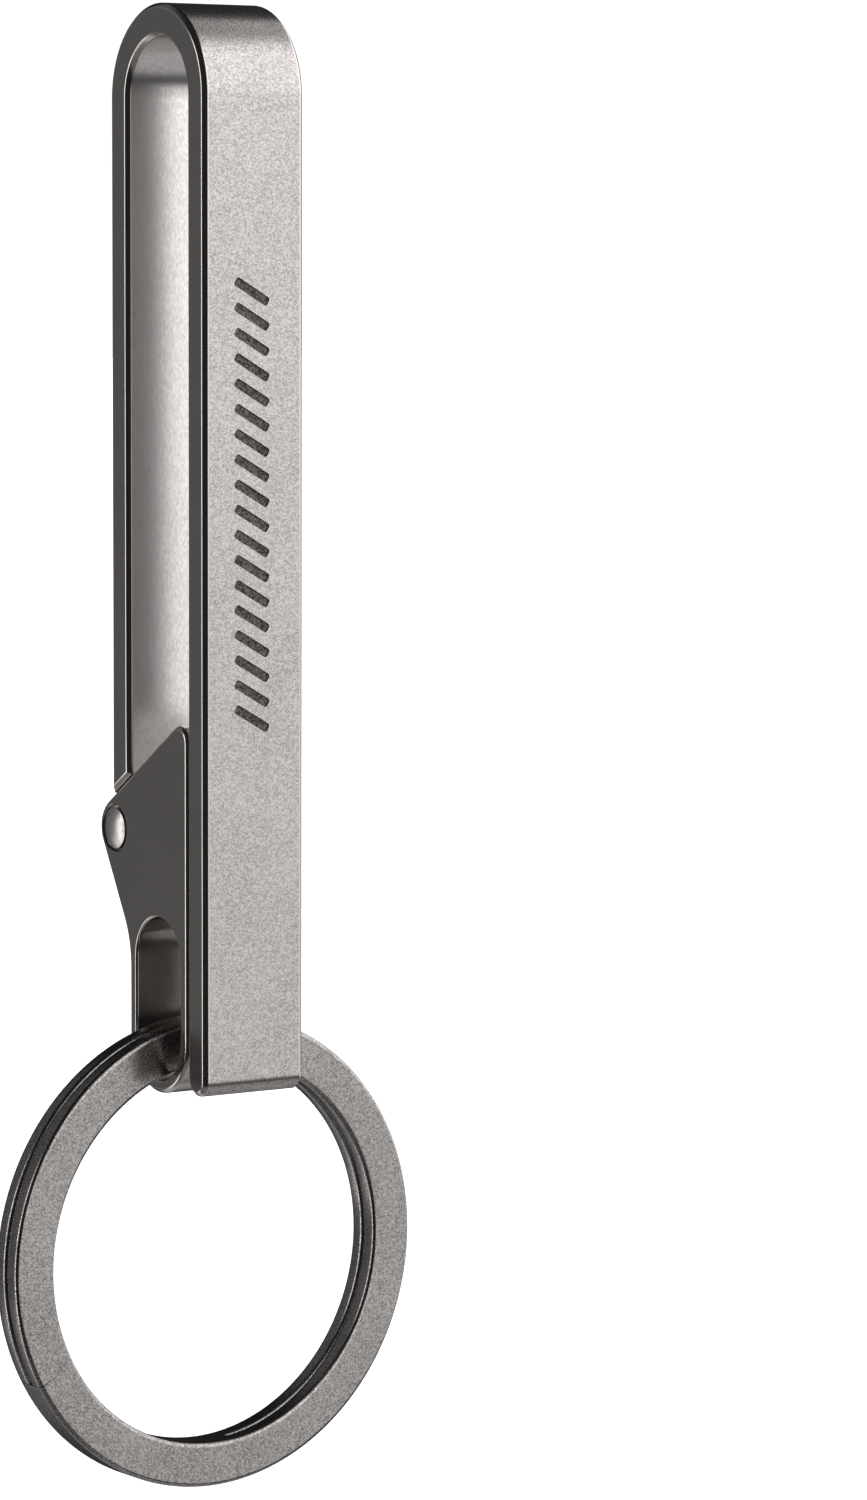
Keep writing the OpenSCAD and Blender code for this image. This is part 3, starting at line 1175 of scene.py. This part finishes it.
@dataclass
class Studio:
    """Camera, pale floor and soft light round the clip.

    Attributes:
        azimuth: Camera's place round the clip in degrees, 0 at -Y.
        pitch: How far the camera looks down, in degrees.
        distance: Distance from the camera to its aim, in mm.
        lens: Focal length in mm.
        sensor: Sensor's long side in mm.
        aim_right: Aim's shift to the camera's right, in mm.
        aim_below: Aim's distance below the top of the bend, in mm.
        roll: Camera's roll in degrees.
        floor_drop: Distance from the lowest point of the clip to the floor, in mm.
        floor_reach: Half of the floor's side, in mm.
        backdrop: Brightness that the camera sees past the clip.
        dim: Brightness of the surroundings between the lights.
        patches: The lights: a broad one on the camera's right and its brighter upper part, a narrow strip, a
            low light and a dim screen on the camera's left, and two pale boards below.
    """

    azimuth: float = 56.76
    pitch: float = 5.41
    distance: float = 349.6
    lens: float = 125.3
    sensor: float = 36.0
    aim_right: float = 15.18
    aim_below: float = 49.46
    roll: float = -0.18
    floor_drop: float = 60.0
    floor_reach: float = 6000.0
    backdrop: float = 1.1
    dim: float = 0.02
    patches: tuple[LightPatch, ...] = (
        LightPatch(51.0, 67.0, -20.5, 56.0, 5.0, 0.98),
        LightPatch(58.0, 60.0, 0.5, 56.0, 8.0, 0.76),
        LightPatch(252.0, 8.0, -30.0, 30.0, 5.0, 2.6),
        LightPatch(232.0, 18.0, -46.0, -22.0, 6.0, 1.0),
        LightPatch(212.0, 26.0, -50.0, 50.0, 12.0, 0.14),
        LightPatch(110.0, 105.0, -90.0, -38.0, 6.0, 0.24),
        LightPatch(90.0, 180.0, -90.0, -38.0, 6.0, 0.18))

    def camera(self, top: float) -> bpy.types.Object:
        """Makes the camera.

        Args:
            top: Height of the top of the bend, in mm.

        Returns:
            The camera object.
        """
        round_z, tilt, roll = (math.radians(v) for v in (self.azimuth, self.pitch, self.roll))
        level = Vector((math.sin(round_z), -math.cos(round_z), 0))
        back = level * math.cos(tilt) + Vector((0, 0, math.sin(tilt)))
        right = Vector((math.cos(round_z), math.sin(round_z), 0))
        up = back.cross(right)
        aim = right * self.aim_right + Vector((0, 0, top - self.aim_below))
        side = right * math.cos(roll) - up * math.sin(roll)
        rise = right * math.sin(roll) + up * math.cos(roll)
        turn = Matrix((side, rise, back)).transposed().to_4x4()
        data = bpy.data.cameras.new("camera")
        data.lens, data.sensor_width = self.lens, self.sensor
        data.clip_start, data.clip_end = 0.01, 50.0
        made = bpy.data.objects.new("camera", data)
        made.matrix_world = Matrix.Translation((aim + back * self.distance) * MM) @ turn
        bpy.context.scene.collection.objects.link(made)
        bpy.context.scene.camera = made
        return made

    def floor(self) -> bpy.types.Object:
        """Makes the plain pale floor below the clip."""
        low, _ = CAD_BOX
        mesh = bmesh.new()
        bmesh.ops.create_grid(mesh, x_segments=1, y_segments=1, size=self.floor_reach * MM)
        bmesh.ops.translate(mesh, vec=(0, 0, low[2] - self.floor_drop * MM), verts=mesh.verts)
        pale = bpy.data.materials.new("pale_floor")
        pale.use_nodes = True
        shader = pale.node_tree.nodes["Principled BSDF"]
        shader.inputs["Base Color"].default_value = linear("F4F4F3")
        shader.inputs["Roughness"].default_value = 0.9
        shader.inputs["Emission Color"].default_value = (1.0, 1.0, 1.0, 1.0)
        shader.inputs["Emission Strength"].default_value = 1.0
        made = Shop.place("floor", mesh, [pale])
        # The clip mirrors the light patches, not the floor.
        made.visible_glossy = made.visible_diffuse = False
        return made

    def room(self) -> None:
        """Lights the clip: each light is a soft-edged patch of the surroundings, and the rest is dim."""
        world = bpy.data.worlds.new("studio")
        bpy.context.scene.world = world
        world.use_nodes = True
        tree = world.node_tree
        tree.nodes.clear()
        where = add(tree, "ShaderNodeTexCoord").outputs["Generated"]
        total: bpy.types.NodeSocket | float = self.dim
        for patch in self.patches:
            joined = add(tree, "ShaderNodeMath", {"operation": "ADD"}, links={0: patch.glow(tree, where)})
            if isinstance(total, float):
                joined.inputs[1].default_value = total
            else:
                tree.links.new(total, joined.inputs[1])
            total = joined.outputs["Value"]
        white = (1.0, 1.0, 1.0, 1.0)
        soft = add(tree, "ShaderNodeBackground", values={"Color": white}, links={"Strength": total})
        plain = add(tree, "ShaderNodeBackground", values={"Color": white, "Strength": self.backdrop})
        seen = add(tree, "ShaderNodeLightPath").outputs["Is Camera Ray"]
        both = add(tree, "ShaderNodeMixShader", links={0: seen, 1: soft.outputs[0], 2: plain.outputs[0]})
        add(tree, "ShaderNodeOutputWorld", links={"Surface": both.outputs[0]})

    def build(self, top: float) -> None:
        """Sets up camera, floor and light.

        Args:
            top: Height of the top of the bend, in mm.
        """
        self.camera(top)
        self.floor()
        self.room()
        bpy.context.scene.view_settings.view_transform = "Standard"


def main() -> None:
    """Builds every piece and the studio."""
    logging.basicConfig(level=logging.INFO, format="%(name)s: %(message)s")
    layout = Layout.read()
    studio = Studio()
    studio.build(layout.top)
    for maker in (ClipFrame(layout), LeverGate(layout), RivetPin(layout), SplitRing()):
        piece = maker.build()
        LOG.info("%s: %d vertices, %d faces", piece.name, len(piece.data.vertices), len(piece.data.polygons))


if __name__ == "__main__":
    main()
